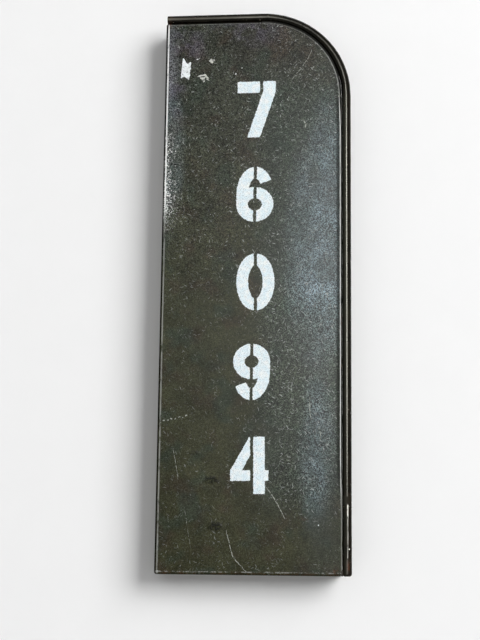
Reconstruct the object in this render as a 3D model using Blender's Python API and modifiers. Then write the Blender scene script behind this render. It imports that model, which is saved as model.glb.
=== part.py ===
"""Directional sign: a folded steel pan with one round corner, edged by a round rod.

Units are metres and +Z is up. The painted face looks along -Y and the open back
along +Y. The origin is the centre of the upper hanger bar's rear face.
"""

import math

import bmesh
import bpy
from mathutils import Matrix, Vector

# Outside of the whole sign, rod included
SIGN_HEIGHT = 0.6096
SIGN_WIDTH = 0.2032
PAN_DEPTH = 0.03175
CORNER_RADIUS = 0.0972

# Sheet steel of the pan: outside fold radius, rear lips, bend reliefs and slits
SHEET = 0.0015
FOLD_RADIUS = 0.0025
LIP_WIDTH = 0.012
RELIEF_WIDTH = 0.0015
RELIEF_PAST_FOLD = 0.001
MITRE_SLIT = 0.001
EDGE_ROUND = 0.0003

# Edging rod: how far it stands proud of the face, its ends and its joint
ROD_DIAMETER = 0.009525
ROD_PROUD = 0.0005
ROD_END_INSET = 0.001
ROD_END_CHAMFER = 0.0005
ROD_FOOT_ROUND = 0.0025
ROD_JOINT_ANGLE = math.radians(7.8)

# Flat bars across the back, with the keyholes and the slot for wall screws
BAR_WIDTH = 0.0254
BAR_THICKNESS = 0.0032
BAR_END_GAP = 0.0005
UPPER_BAR_BELOW_CURVE = 0.038
LOWER_BAR_ABOVE_FOOT = 0.1
KEYHOLE_SPACING = 0.1
KEYHOLE_HEAD = 0.01
KEYHOLE_NECK = 0.005
KEYHOLE_RISE = 0.008
SLOT_LENGTH = 0.016
SLOT_WIDTH = 0.0065

# Weld beads
BEAD_RADIUS = 0.0015
BEAD_BLUNTNESS = 3
ROD_BEAD_LENGTH = 0.009
TOP_BEAD_COUNT = 2
CURVE_BEAD_COUNT = 2
SIDE_BEAD_COUNT = 8
BAND_BEAD_LENGTH = 0.011
BAND_BEAD_COUNT = 4
SEAM_BEAD_LENGTH = 0.014
BAR_BEAD_LENGTH = 0.006

# Space left between pieces that touch on the real sign
CLEARANCE = 0.0003

# Smoothness of round shapes
CORNER_STEPS = 24
FOLD_STEPS = 4
EDGE_STEPS = 2
HOLE_STEPS = 28
ROD_BEVEL_RESOLUTION = 8
BEAD_SIDES = 12
BEAD_RINGS = 8

# Places that follow from the sizes
ROD_RADIUS = ROD_DIAMETER / 2
LEFT = -SIGN_WIDTH / 2
RIGHT = SIGN_WIDTH / 2
TOP = CORNER_RADIUS + UPPER_BAR_BELOW_CURVE
FOOT = TOP - SIGN_HEIGHT
BACK = SHEET + CLEARANCE
FACE = BACK - PAN_DEPTH
FACE_INSIDE = FACE + SHEET
WALL_RIGHT = RIGHT - ROD_DIAMETER - CLEARANCE
WALL_TOP = TOP - ROD_DIAMETER - CLEARANCE
CURVE_X = RIGHT - CORNER_RADIUS
CURVE_Z = TOP - CORNER_RADIUS
WALL_CURVE = WALL_RIGHT - CURVE_X
RELIEF_DEPTH = FOLD_RADIUS + RELIEF_PAST_FOLD
ROD_Y = FACE - ROD_PROUD + ROD_RADIUS
ROD_X = RIGHT - ROD_RADIUS
ROD_Z = TOP - ROD_RADIUS
ROD_CURVE = CORNER_RADIUS - ROD_RADIUS
LOWER_BAR_Z = FOOT + LOWER_BAR_ABOVE_FOOT

QUARTER_TURN = math.pi / 2
SMOOTH_ANGLE = math.radians(35)
WELD_DISTANCE = 1e-6
FOLD_ANGLE = math.radians(60)
FLAT_END_ANGLE = math.radians(2)


def paint(name, colour, roughness, metallic):
    """A Principled material with the given finish."""
    material = bpy.data.materials.new(name)
    material.use_nodes = True
    shader = material.node_tree.nodes["Principled BSDF"]
    shader.inputs["Base Color"].default_value = (*colour, 1.0)
    shader.inputs["Roughness"].default_value = roughness
    shader.inputs["Metallic"].default_value = metallic
    return material


def add_object(name, mesh, collection):
    """Links a mesh as a named object."""
    item = bpy.data.objects.new(name, mesh)
    collection.objects.link(item)
    return item


def write_mesh(bm, mesh):
    """Puts a bmesh into mesh data, shaded smooth except at its corners."""
    bm.to_mesh(mesh)
    bm.free()
    mesh.shade_smooth()
    mesh.set_sharp_from_angle(angle=SMOOTH_ANGLE)


def new_mesh(bm, name, material=None):
    """Makes mesh data from a bmesh."""
    mesh = bpy.data.meshes.new(name)
    write_mesh(bm, mesh)
    if material:
        mesh.materials.append(material)
    return mesh


def arc(centre, radius, start, end, steps):
    """Points along an arc in a plane, both ends included."""
    points = []
    for step in range(steps + 1):
        angle = start + (end - start) * step / steps
        points.append((centre[0] + radius * math.cos(angle), centre[1] + radius * math.sin(angle)))
    return points


def around_curve(radius, angle):
    """The point (x, z) at an angle on a circle about the round corner's centre."""
    return CURVE_X + radius * math.cos(angle), CURVE_Z + radius * math.sin(angle)


def add_bevel(item, width, segments):
    """Rounds every fold or square edge."""
    bevel = item.modifiers.new("Round", "BEVEL")
    bevel.width = width
    bevel.segments = segments
    bevel.limit_method = "ANGLE"
    bevel.angle_limit = FOLD_ANGLE


def add_sheet_thickness(item):
    """Gives an open surface the sheet's thickness, inward from its outer skin."""
    solidify = item.modifiers.new("Sheet", "SOLIDIFY")
    solidify.thickness = SHEET
    solidify.offset = -1.0
    solidify.use_even_offset = True


def fold_back(bm, edges, move):
    """Extrudes a chain of edges, shifts each new point by move(place) and gives the new chain."""
    made = bmesh.ops.extrude_edge_only(bm, edges=edges)["geom"]
    new_verts = {part for part in made if isinstance(part, bmesh.types.BMVert)}
    for vert in new_verts:
        vert.co += move(vert.co)
    return [part for part in made if isinstance(part, bmesh.types.BMEdge) and set(part.verts) <= new_verts]


def face_outline():
    """The face from the front, anticlockwise from its lower left corner.

    A square relief is notched out where each straight fold ends at the round corner.
    """
    right_relief = [
        (WALL_RIGHT, CURVE_Z - RELIEF_WIDTH),
        (WALL_RIGHT - RELIEF_DEPTH, CURVE_Z - RELIEF_WIDTH),
        (WALL_RIGHT - RELIEF_DEPTH, CURVE_Z),
    ]
    top_relief = [
        (CURVE_X, WALL_TOP - RELIEF_DEPTH),
        (CURVE_X - RELIEF_WIDTH, WALL_TOP - RELIEF_DEPTH),
        (CURVE_X - RELIEF_WIDTH, WALL_TOP),
    ]
    corner = arc((CURVE_X, CURVE_Z), WALL_CURVE, 0, QUARTER_TURN, CORNER_STEPS)
    bottom = [(LEFT, FOOT), (WALL_RIGHT, FOOT)]
    return bottom + right_relief + corner + top_relief + [(LEFT, WALL_TOP)]


def lip_move(place):
    """How a rear corner of the pan moves inward to make the lip, mitred where walls meet."""
    across = 0
    if abs(place.x - LEFT) < SHEET:
        across = LIP_WIDTH
    if abs(place.x - WALL_RIGHT) < SHEET:
        across = -LIP_WIDTH
    up = 0
    if abs(place.z - FOOT) < SHEET:
        up = LIP_WIDTH
    if abs(place.z - WALL_TOP) < SHEET:
        up = -LIP_WIDTH
    return Vector((across, 0, up))


def mitre_cutter(cutters):
    """Thin boxes along the three rear mitres, deep enough to free the lips' folds."""
    bm = bmesh.new()
    reach = 2 * math.sqrt(2) * (LIP_WIDTH + FOLD_RADIUS)
    depth = 2 * RELIEF_DEPTH
    for x, z, lean in ((LEFT, FOOT, -1), (WALL_RIGHT, FOOT, 1), (LEFT, WALL_TOP, 1)):
        box = bmesh.ops.create_cube(bm, size=1.0)["verts"]
        bmesh.ops.scale(bm, vec=(reach, depth, MITRE_SLIT), verts=box)
        turn = Matrix.Rotation(lean * math.pi / 4, 3, "Y")
        bmesh.ops.rotate(bm, cent=(0, 0, 0), matrix=turn, verts=box)
        bmesh.ops.translate(bm, vec=(x, BACK, z), verts=box)
    cutter = add_object("lip_mitre_cutter", new_mesh(bm, "lip_mitre_cutter"), cutters)
    cutter.hide_render = True
    cutter.display_type = "WIRE"
    return cutter


def face_panel(parts, cutters, material):
    """One sheet: the face, its folded left, bottom, right and top walls, and their rear lips."""
    bm = bmesh.new()
    corners = [bm.verts.new((x, FACE, z)) for x, z in face_outline()]
    bm.faces.new(corners)
    bm.normal_update()
    folded = [corners[-2], corners[-1], corners[0], corners[1], corners[2]]
    folds = [bm.edges.get(pair) for pair in zip(folded, folded[1:])]
    rear = fold_back(bm, folds, lambda place: Vector((0, PAN_DEPTH, 0)))
    fold_back(bm, rear, lip_move)
    bmesh.ops.recalc_face_normals(bm, faces=bm.faces)
    front = max(bm.faces, key=lambda face: len(face.verts))
    if front.normal.y > 0:
        bmesh.ops.reverse_faces(bm, faces=bm.faces)
    panel = add_object("face_panel", new_mesh(bm, "face_panel", material), parts)
    add_bevel(panel, FOLD_RADIUS, FOLD_STEPS)
    add_sheet_thickness(panel)
    add_bevel(panel, EDGE_ROUND, EDGE_STEPS)
    slits = panel.modifiers.new("Mitres", "BOOLEAN")
    slits.operation = "DIFFERENCE"
    slits.object = mitre_cutter(cutters)
    slits.solver = "EXACT"
    return panel


def corner_band(parts, material):
    """The rolled strip that closes the round corner behind the face's cut edge."""
    overrun = RELIEF_WIDTH - CLEARANCE
    outline = [(WALL_RIGHT, CURVE_Z - overrun)]
    outline += arc((CURVE_X, CURVE_Z), WALL_CURVE, 0, QUARTER_TURN, CORNER_STEPS)
    outline += [(CURVE_X - overrun, WALL_TOP)]
    bm = bmesh.new()
    front = FACE_INSIDE + CLEARANCE
    verts = [bm.verts.new((x, front, z)) for x, z in outline]
    edges = [bm.edges.new(pair) for pair in zip(verts, verts[1:])]
    fold_back(bm, edges, lambda place: Vector((0, BACK - front, 0)))
    bm.normal_update()
    bm.faces.ensure_lookup_table()
    if bm.faces[0].normal.x < 0:
        bmesh.ops.reverse_faces(bm, faces=bm.faces)
    band = add_object("corner_band", new_mesh(bm, "corner_band", material), parts)
    add_sheet_thickness(band)
    add_bevel(band, EDGE_ROUND, EDGE_STEPS)
    return band


def rod_along(name, points, parts, material):
    """A round bar along a line of points, as a closed mesh with welded end caps."""
    curve = bpy.data.curves.new(name, "CURVE")
    curve.dimensions = "3D"
    curve.bevel_depth = ROD_RADIUS
    curve.bevel_resolution = ROD_BEVEL_RESOLUTION
    curve.use_fill_caps = True
    spline = curve.splines.new("POLY")
    spline.points.add(len(points) - 1)
    for point, place in zip(spline.points, points):
        point.co = (*place, 1.0)
    guide = bpy.data.objects.new(name + "_path", curve)
    parts.objects.link(guide)
    return solid_from_curve(guide, name, parts, material)


def solid_from_curve(guide, name, parts, material):
    """Replaces a curve object by an object with its mesh, caps welded."""
    bpy.context.view_layer.update()
    ready = guide.evaluated_get(bpy.context.evaluated_depsgraph_get())
    raw = bpy.data.meshes.new_from_object(ready)
    bm = bmesh.new()
    bm.from_mesh(raw)
    bmesh.ops.remove_doubles(bm, verts=bm.verts, dist=WELD_DISTANCE)
    bmesh.ops.transform(bm, matrix=guide.matrix_world, verts=bm.verts)
    bmesh.ops.recalc_face_normals(bm, faces=bm.faces)
    bpy.data.objects.remove(guide, do_unlink=True)
    bpy.data.meshes.remove(raw)
    return add_object(name, new_mesh(bm, name, material), parts)


def rod_joint(along):
    """A point and a direction for the cut where the two rods meet on the curve.

    The top rod leans there by the joint's angle and the side rod's upper end by half
    of it, because it follows the chord up from the start of the curve. The cut takes
    the mean. The point may be shifted along the rods.
    """
    lean = 0.75 * ROD_JOINT_ANGLE
    direction = Vector((-math.sin(lean), 0, math.cos(lean)))
    x, z = around_curve(ROD_CURVE, ROD_JOINT_ANGLE)
    return Vector((x, ROD_Y, z)) + direction * along, direction


def cut_end(item, point, direction):
    """Trims off what lies beyond a plane and caps the cut."""
    bm = bmesh.new()
    bm.from_mesh(item.data)
    everything = bm.verts[:] + bm.edges[:] + bm.faces[:]
    cut = bmesh.ops.bisect_plane(bm, geom=everything, plane_co=point, plane_no=direction, clear_outer=True)
    rim = [part for part in cut["geom_cut"] if isinstance(part, bmesh.types.BMEdge)]
    bmesh.ops.edgeloop_fill(bm, edges=rim)
    bmesh.ops.recalc_face_normals(bm, faces=bm.faces)
    write_mesh(bm, item.data)


def round_end(item, direction, width, segments):
    """Rounds the rim of the rod's flat end that faces a direction."""
    bm = bmesh.new()
    bm.from_mesh(item.data)
    facing = [face for face in bm.faces if face.normal.dot(direction) > math.cos(FLAT_END_ANGLE)]
    cap = bmesh.ops.dissolve_faces(bm, faces=facing)["region"]
    bmesh.ops.bevel(
        bm,
        geom=cap[0].edges[:],
        offset=width,
        segments=segments,
        profile=0.5,
        affect="EDGES",
    )
    write_mesh(bm, item.data)


def top_rod(parts, material):
    """The rod along the top edge, bent round the corner to the joint."""
    start = Vector((LEFT + ROD_END_INSET, ROD_Y, ROD_Z))
    over_run = ROD_DIAMETER / ROD_CURVE
    bend = arc((CURVE_X, CURVE_Z), ROD_CURVE, QUARTER_TURN, ROD_JOINT_ANGLE - over_run, CORNER_STEPS)
    points = [start] + [(x, ROD_Y, z) for x, z in bend]
    rod = rod_along("top_rod", points, parts, material)
    point, direction = rod_joint(CLEARANCE / 2)
    cut_end(rod, point, -direction)
    round_end(rod, Vector((-1, 0, 0)), ROD_END_CHAMFER, EDGE_STEPS)
    return rod


def side_rod(parts, material):
    """The rod down the right edge, from the joint to the foot of the sign."""
    foot = Vector((ROD_X, ROD_Y, FOOT))
    bend_start = Vector((ROD_X, ROD_Y, CURVE_Z))
    x, z = around_curve(ROD_CURVE, ROD_JOINT_ANGLE)
    joint = Vector((x, ROD_Y, z))
    beyond = joint + (joint - bend_start).normalized() * ROD_DIAMETER
    rod = rod_along("side_rod", [foot, bend_start, beyond], parts, material)
    point, direction = rod_joint(-CLEARANCE / 2)
    cut_end(rod, point, direction)
    round_end(rod, Vector((0, 0, -1)), ROD_FOOT_ROUND, FOLD_STEPS)
    return rod


def bead_mesh(name, length, material):
    """One bead of weld along Z, nearly even in thickness and blunt at its ends."""
    bm = bmesh.new()
    bmesh.ops.create_uvsphere(bm, u_segments=BEAD_SIDES, v_segments=BEAD_RINGS, radius=1.0)
    for vert in bm.verts:
        around = Vector((vert.co.x, vert.co.y, 0))
        thickness = max(0, 1 - abs(vert.co.z) ** BEAD_BLUNTNESS) ** (1 / BEAD_BLUNTNESS)
        if around.length > WELD_DISTANCE:
            around = around.normalized() * BEAD_RADIUS * thickness
        vert.co = around + Vector((0, 0, vert.co.z * length / 2))
    return new_mesh(bm, name, material)


def add_beads(name, places, length, parts, material):
    """Beads that share one mesh, each at a place and along a direction."""
    mesh = bead_mesh(name, length, material)
    for number, (place, along) in enumerate(places, start=1):
        label = f"{name}_{number}" if len(places) > 1 else name
        bead = add_object(label, mesh, parts)
        bead.location = place
        bead.rotation_mode = "QUATERNION"
        bead.rotation_quaternion = Vector((0, 0, 1)).rotation_difference(Vector(along))


def bead_places(length, count):
    """Distances, or angles, of evenly pitched beads along a run."""
    return [(number + 0.5) * length / count for number in range(count)]


def rod_bead_offsets():
    """Where a bead lies in the crevice behind the rod: off the wall, and behind the rod's axis."""
    off_wall = BEAD_RADIUS + CLEARANCE
    reach = ROD_RADIUS + BEAD_RADIUS + CLEARANCE
    sideways = ROD_RADIUS - BEAD_RADIUS
    return off_wall, math.sqrt(reach**2 - sideways**2)


def top_rod_welds(parts, material):
    """Beads that hold the top rod to the pan's top wall and to the corner band."""
    off_wall, behind = rod_bead_offsets()
    straight_start = LEFT + ROD_END_INSET
    beads = []
    for distance in bead_places(CURVE_X - RELIEF_WIDTH - straight_start, TOP_BEAD_COUNT):
        place = (straight_start + distance, ROD_Y + behind, WALL_TOP + off_wall)
        beads.append((place, (1, 0, 0)))
    for sweep in bead_places(QUARTER_TURN - ROD_JOINT_ANGLE, CURVE_BEAD_COUNT):
        angle = QUARTER_TURN - sweep
        x, z = around_curve(WALL_CURVE + off_wall, angle)
        beads.append(((x, ROD_Y + behind, z), (math.sin(angle), 0, -math.cos(angle))))
    add_beads("top_rod_weld", beads, ROD_BEAD_LENGTH, parts, material)


def side_rod_welds(parts, material):
    """Beads that hold the side rod to the pan's right wall."""
    off_wall, behind = rod_bead_offsets()
    beads = []
    for distance in bead_places(CURVE_Z - RELIEF_WIDTH - FOOT, SIDE_BEAD_COUNT):
        place = (WALL_RIGHT + off_wall, ROD_Y + behind, FOOT + distance)
        beads.append((place, (0, 0, 1)))
    add_beads("side_rod_weld", beads, ROD_BEAD_LENGTH, parts, material)


def rod_joint_weld(parts, material):
    """The bead across the rear of the joint between the two rods."""
    point, direction = rod_joint(0)
    place = point + Vector((0, ROD_RADIUS + BEAD_RADIUS + CLEARANCE, 0))
    add_beads("rod_joint_weld", [(place, direction)], ROD_BEAD_LENGTH, parts, material)


def band_face_welds(parts, material):
    """Beads in the corner between the face's back and the inside of the corner band."""
    radius = WALL_CURVE - SHEET - CLEARANCE - BEAD_RADIUS
    depth = FACE_INSIDE + CLEARANCE + BEAD_RADIUS
    beads = []
    for angle in bead_places(QUARTER_TURN, BAND_BEAD_COUNT):
        x, z = around_curve(radius, angle)
        beads.append(((x, depth, z), (-math.sin(angle), 0, math.cos(angle))))
    add_beads("band_face_weld", beads, BAND_BEAD_LENGTH, parts, material)


def band_seam_welds(parts, material):
    """Two upright beads inside the seams between the corner band and the folded walls."""
    inset = SHEET + CLEARANCE + BEAD_RADIUS
    depth = (FACE + BACK) / 2
    seam = RELIEF_WIDTH - CLEARANCE / 2
    beads = [
        ((WALL_RIGHT - inset, depth, CURVE_Z - seam), (0, 1, 0)),
        ((CURVE_X - seam, depth, WALL_TOP - inset), (0, 1, 0)),
    ]
    add_beads("band_seam_weld", beads, SEAM_BEAD_LENGTH, parts, material)


def pan_corner_welds(parts, material):
    """Beads inside the three square corners, where the pan's walls were closed."""
    inset = SHEET + max(BEAD_RADIUS, FOLD_RADIUS - SHEET) + CLEARANCE
    depth = (FACE + BACK) / 2
    left = LEFT + inset
    bottom = FOOT + inset
    corners = [(left, bottom), (WALL_RIGHT - inset, bottom), (left, WALL_TOP - inset)]
    beads = [((x, depth, z), (0, 1, 0)) for x, z in corners]
    add_beads("pan_corner_weld", beads, SEAM_BEAD_LENGTH, parts, material)


def hanger_bar(name, height, holes, parts, material):
    """A flat bar across the back, seated on the lips: an outline with holes and eased edges."""
    left = LEFT + FOLD_RADIUS + BAR_END_GAP
    right = WALL_RIGHT - FOLD_RADIUS - BAR_END_GAP
    half = BAR_WIDTH / 2
    outline = [(left, -half), (right, -half), (right, half), (left, half)]
    curve = bpy.data.curves.new(name, "CURVE")
    curve.dimensions = "2D"
    curve.fill_mode = "BOTH"
    curve.extrude = BAR_THICKNESS / 2 - EDGE_ROUND
    curve.bevel_depth = EDGE_ROUND
    curve.bevel_resolution = 0
    curve.offset = -EDGE_ROUND
    for loop in [outline] + [hole[::-1] for hole in holes]:
        spline = curve.splines.new("POLY")
        spline.use_cyclic_u = True
        spline.points.add(len(loop) - 1)
        for point, (x, y) in zip(spline.points, loop):
            point.co = (x, y, 0, 1)
    guide = bpy.data.objects.new(name + "_outline", curve)
    guide.location = (0, -BAR_THICKNESS / 2, height)
    guide.rotation_euler = (QUARTER_TURN, 0, 0)
    parts.objects.link(guide)
    return solid_from_curve(guide, name, parts, material)


def keyhole(centre_x):
    """A round screw-head opening with a narrow neck above it, centred on the bar's height."""
    head = KEYHOLE_HEAD / 2
    neck = KEYHOLE_NECK / 2
    head_z = (head - KEYHOLE_RISE - neck) / 2
    meet = math.acos(neck / head)
    bowl = arc((centre_x, head_z), head, math.pi - meet, 2 * math.pi + meet, HOLE_STEPS)
    crown = arc((centre_x, head_z + KEYHOLE_RISE), neck, 0, math.pi, HOLE_STEPS // 2)
    return bowl + crown


def screw_slot():
    """A slot with round ends in the middle of the bar."""
    end = SLOT_WIDTH / 2
    run = (SLOT_LENGTH - SLOT_WIDTH) / 2
    right_end = arc((run, 0), end, -QUARTER_TURN, QUARTER_TURN, HOLE_STEPS // 2)
    left_end = arc((-run, 0), end, QUARTER_TURN, 3 * QUARTER_TURN, HOLE_STEPS // 2)
    return right_end + left_end


def bar_welds(name, height, parts, material):
    """Four beads along a bar's edges, in the corners it makes with the side lips."""
    depth = BACK - SHEET - CLEARANCE - BEAD_RADIUS
    rise = BAR_WIDTH / 2 + CLEARANCE + BEAD_RADIUS
    bar_end = FOLD_RADIUS + BAR_END_GAP
    inset = (bar_end + LIP_WIDTH) / 2
    beads = []
    for x in (LEFT + inset, WALL_RIGHT - inset):
        for z in (height - rise, height + rise):
            beads.append(((x, depth, z), (1, 0, 0)))
    add_beads(name, beads, BAR_BEAD_LENGTH, parts, material)


def new_collection(name):
    """An empty collection in the scene."""
    collection = bpy.data.collections.new(name)
    bpy.context.scene.collection.children.link(collection)
    return collection


def build():
    """Builds the whole sign."""
    for item in list(bpy.data.objects):
        bpy.data.objects.remove(item, do_unlink=True)
    parts = new_collection("directional_sign")
    cutters = new_collection("cutters")
    panel_paint = paint("panel_paint", (0.047, 0.048, 0.031), 0.5, 0.0)
    rod_paint = paint("rod_paint", (0.012, 0.012, 0.009), 0.25, 0.0)
    bar_steel = paint("bar_steel", (0.09, 0.085, 0.075), 0.6, 0.0)
    weld_metal = paint("weld_metal", (0.06, 0.05, 0.04), 0.55, 0.0)

    face_panel(parts, cutters, panel_paint)
    corner_band(parts, panel_paint)
    top_rod(parts, rod_paint)
    side_rod(parts, rod_paint)
    rod_joint_weld(parts, weld_metal)
    top_rod_welds(parts, weld_metal)
    side_rod_welds(parts, weld_metal)
    band_face_welds(parts, weld_metal)
    band_seam_welds(parts, weld_metal)
    pan_corner_welds(parts, weld_metal)

    keyholes = [keyhole(-KEYHOLE_SPACING / 2), keyhole(KEYHOLE_SPACING / 2)]
    hanger_bar("upper_hanger_bar", 0, keyholes, parts, bar_steel)
    hanger_bar("lower_hanger_bar", LOWER_BAR_Z, [screw_slot()], parts, bar_steel)
    bar_welds("upper_hanger_weld", 0, parts, weld_metal)
    bar_welds("lower_hanger_weld", LOWER_BAR_Z, parts, weld_metal)


build()
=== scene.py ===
"""Looks of the directional sign: worn painted steel, stencilled digits, light and camera.

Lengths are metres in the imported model's frame: X right, Z up, and the painted face
looks along -Y. Places on the face are millimetres from its left edge and up from its foot.
"""

import math
import random

import bmesh
import bpy
from mathutils import Matrix, Vector, noise


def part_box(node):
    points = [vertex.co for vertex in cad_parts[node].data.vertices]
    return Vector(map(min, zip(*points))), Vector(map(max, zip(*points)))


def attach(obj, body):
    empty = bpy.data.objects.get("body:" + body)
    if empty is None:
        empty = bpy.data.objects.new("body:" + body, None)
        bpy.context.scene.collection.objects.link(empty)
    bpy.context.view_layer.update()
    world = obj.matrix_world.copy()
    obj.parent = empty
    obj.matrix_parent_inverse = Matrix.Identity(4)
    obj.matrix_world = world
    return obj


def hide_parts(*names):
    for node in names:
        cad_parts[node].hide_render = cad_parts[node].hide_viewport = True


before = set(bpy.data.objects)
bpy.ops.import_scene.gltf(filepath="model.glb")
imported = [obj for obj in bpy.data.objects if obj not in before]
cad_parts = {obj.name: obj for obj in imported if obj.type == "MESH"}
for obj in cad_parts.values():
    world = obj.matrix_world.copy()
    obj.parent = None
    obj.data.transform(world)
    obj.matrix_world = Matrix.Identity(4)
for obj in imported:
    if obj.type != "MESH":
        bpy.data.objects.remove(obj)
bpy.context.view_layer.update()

LEFT, FACE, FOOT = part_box("face_panel")[0]
FOLD_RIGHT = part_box("face_panel")[1].x
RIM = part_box("face_panel")[1].y
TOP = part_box("top_rod")[1].z
ROD_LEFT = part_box("top_rod")[0].x
PAN_DEPTH = RIM - FACE
# Centre of the round corner
CURVE_X = 0.0044
CURVE_Z = 0.038

# Stencilled digits: the digit, its middle on the face and its height in mm, its tilt in degrees
DIGITS = [
    ("7", 101.3, 498.0, 63.5, 0.4),
    ("6", 100.5, 402.6, 61.0, -0.5),
    ("0", 101.9, 306.3, 62.0, 0.6),
    ("9", 98.7, 209.8, 59.5, -0.3),
    ("4", 97.0, 112.0, 59.0, 0.7),
]
# The cell that a digit is drawn in, in units of its own from its lower left, and the widths
# in it of a stroke and of the bridge between two islands
CELL_WIDE, CELL_HIGH = 40, 61
CELL_MIDDLE = (20, 30.5)
STROKE = 12.4
BRIDGE = 3.4

# Marks on the face, in mm. Each ends with a seed for its rough edge.
# Splashes of white paint: the outline
SPLASHES = [
    ([(17.3, 535.7), (17.8, 541.1), (18.3, 547.9), (18.7, 553.2), (19.1, 557.4), (19.9, 558.8),
      (21.4, 556.7), (22.5, 554.1), (23.8, 552.6), (24.9, 551.7), (26.3, 553.0), (28.0, 554.2),
      (28.4, 552.9), (28.1, 549.2), (28.7, 546.6), (27.4, 544.5), (27.3, 541.9), (27.7, 538.7),
      (26.7, 536.1), (26.5, 533.3), (24.6, 534.6), (23.1, 536.2), (21.3, 536.9), (19.5, 536.8),
      (18.3, 535.4)], 1),
    ([(34.3, 556.8), (35.5, 557.6), (37.0, 558.0), (38.1, 558.3), (37.7, 557.4), (36.3, 556.6),
      (35.2, 556.2)], 6),
]
# Round dots of the same paint: the middle and the width
DOTS = [(52.0, 553.7, 1.7, 7), (78.2, 539, 1.4, 8), (84.8, 545.7, 1.0, 9), (169.3, 51.2, 1.3, 10)]
# Paint scraped pale: the outline
SCRAPES = [
    ([(35.7, 536.9), (37.1, 537.9), (39.4, 538.8), (42.2, 538.9), (44.1, 539.7), (45.3, 539.2),
      (46.1, 537.8), (47.4, 535.9), (48.7, 534.7), (48.0, 533.9), (46.2, 534.7), (45.0, 535.7),
      (44.2, 536.4), (43.4, 537.7), (41.2, 537.3), (38.7, 536.4), (37.2, 536.3)], 2),
    ([(38.5, 535.7), (40.2, 535.9), (42.2, 536.0), (44.2, 536.2), (44.8, 535.4), (43.6, 534.4),
      (43.5, 533.1), (44.3, 531.3), (42.9, 530.0), (42.1, 530.8), (41.7, 532.1), (40.5, 533.6),
      (39.2, 534.5)], 3),
    ([(45.4, 534.3), (46.8, 533.9), (48.8, 532.7), (49.0, 532.0), (47.3, 532.6), (45.8, 533.3)],
     4),
    ([(48.2, 554.4), (49.4, 556.0), (50.7, 557.3), (51.9, 556.0), (54.3, 556.1), (54.7, 555.0),
      (53.3, 553.9), (52.8, 552.2), (51.5, 551.7), (50.3, 552.9), (49.1, 553.9)], 5),
]
# Scratches: the path and the width
SCRATCHES = [
    ([(115.1, 89.8), (121.4, 81.7), (127.7, 71.5), (135, 57.3)], 0.8, 11),
    ([(74.2, 45.6), (80.8, 20.3), (85, 14.3), (95.4, 3.6)], 0.65, 12),
    ([(17.3, 129.7), (20.9, 112), (23.3, 96.5)], 0.35, 13),
    ([(30.1, 70.7), (33.6, 50.3), (37.1, 29.9)], 0.3, 14),
    ([(160.2, 184.3), (159.8, 171.8), (161.3, 159.3)], 0.7, 15),
    ([(161.3, 564.4), (157, 555.3), (148.3, 541.8), (140.7, 532.8), (137.5, 526)], 0.5, 16),
    ([(151.8, 485.9), (155.1, 480.2), (154, 475.7)], 1.3, 17),
    ([(170.5, 150), (171.3, 143), (171, 137)], 0.6, 18),
    ([(189.1, 509.4), (191.8, 512.8)], 0.7, 19),
]
# Dotted scrape: each dash's middle, its length, and its slope in degrees
DASHES = [
    (3.6, 155.6, 2.2, 60, 20),
    (6.8, 158.0, 2.4, 10, 21),
    (11.4, 158.6, 1.6, 40, 22),
    (14.6, 160.2, 2.6, -15, 23),
    (19.2, 160.4, 2.0, 55, 24),
    (23.4, 161.8, 2.6, 5, 25),
    (27.0, 161.6, 1.4, 70, 26),
    (30.4, 163.4, 2.4, 20, 27),
]
DASH_WIDTH = 1.3
DASH_SAG = 0.35

# Weld beads: the ripples' pitch, height and lean, a bead's width, and how much longer it is
# drawn than its plain solid
RIPPLE_PITCH = 0.00125
RIPPLE_HEIGHT = 0.07
RIPPLE_LEAN = 0.0004
BEAD_WIDTH = 0.00366
BEAD_STRETCH = 1.06

# How far films of paint stand off the face: their back, and the front of each kind.
# Each further island of a digit stands one step higher.
FILM_BACK = 0.00001
SCRATCH_FILM = 0.00008
DIGIT_FILM = 0.00012
DIGIT_STEP = 0.00001
FLECK_FILM = 0.00015
SPLASH_FILM = 0.0002

# Edges that turn by more than this are shaded sharp, in degrees
SHARP_ANGLE = 40
# Gap between the sign's rear rim and the wall
WALL_GAP = 0.0004
# The sky's strength as it lights the sign, and as the camera and reflections see it
SKY_LIGHT = 0.36
SKY_SEEN = 1.0


def on_face(across, up):
    """A place on the face, from millimetres."""
    return LEFT + across / 1000, FOOT + up / 1000


def rgb(red, green, blue):
    """A linear colour from the 0 to 255 values that a screen shows."""

    def linear(value):
        value /= 255
        return value / 12.92 if value <= 0.04045 else ((value + 0.055) / 1.055) ** 2.4

    return linear(red), linear(green), linear(blue), 1.0


# Colours

OLIVE_FOOT = rgb(54, 55, 36)
OLIVE_MIDDLE = rgb(53, 55, 38)
OLIVE_HEAD = rgb(54, 57, 47)
OLIVE_UPPER_RIGHT = rgb(50, 50, 42)
OLIVE_COOL = rgb(50, 58, 50)
BROWN_CAST = rgb(56, 46, 36)
GREEN_CAST = rgb(44, 56, 46)
# Chalked paint, which on the right of the face also paints a sheen
CHALK_AND_SHEEN = rgb(118, 134, 142)
PALE_HAZE = rgb(124, 125, 132)
VIOLET_CAST = rgb(84, 78, 96)
LOWER_RIGHT_GREY = rgb(50, 55, 50)
REAR_PRIMER = rgb(78, 76, 68)
HAIR_SCRATCH = rgb(176, 180, 176)
PINHOLE = rgb(200, 202, 200)
SMUDGE = rgb(14, 16, 9)
# Bare worn edges, and a painted highlight on the right fold
BARE_AND_HIGHLIGHT = rgb(234, 235, 232)
# Painted shade in the groove beside the rod and at the folds
GROOVE_SHADE = rgb(14, 14, 9)
PANEL_RUST = rgb(96, 56, 36)

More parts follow.
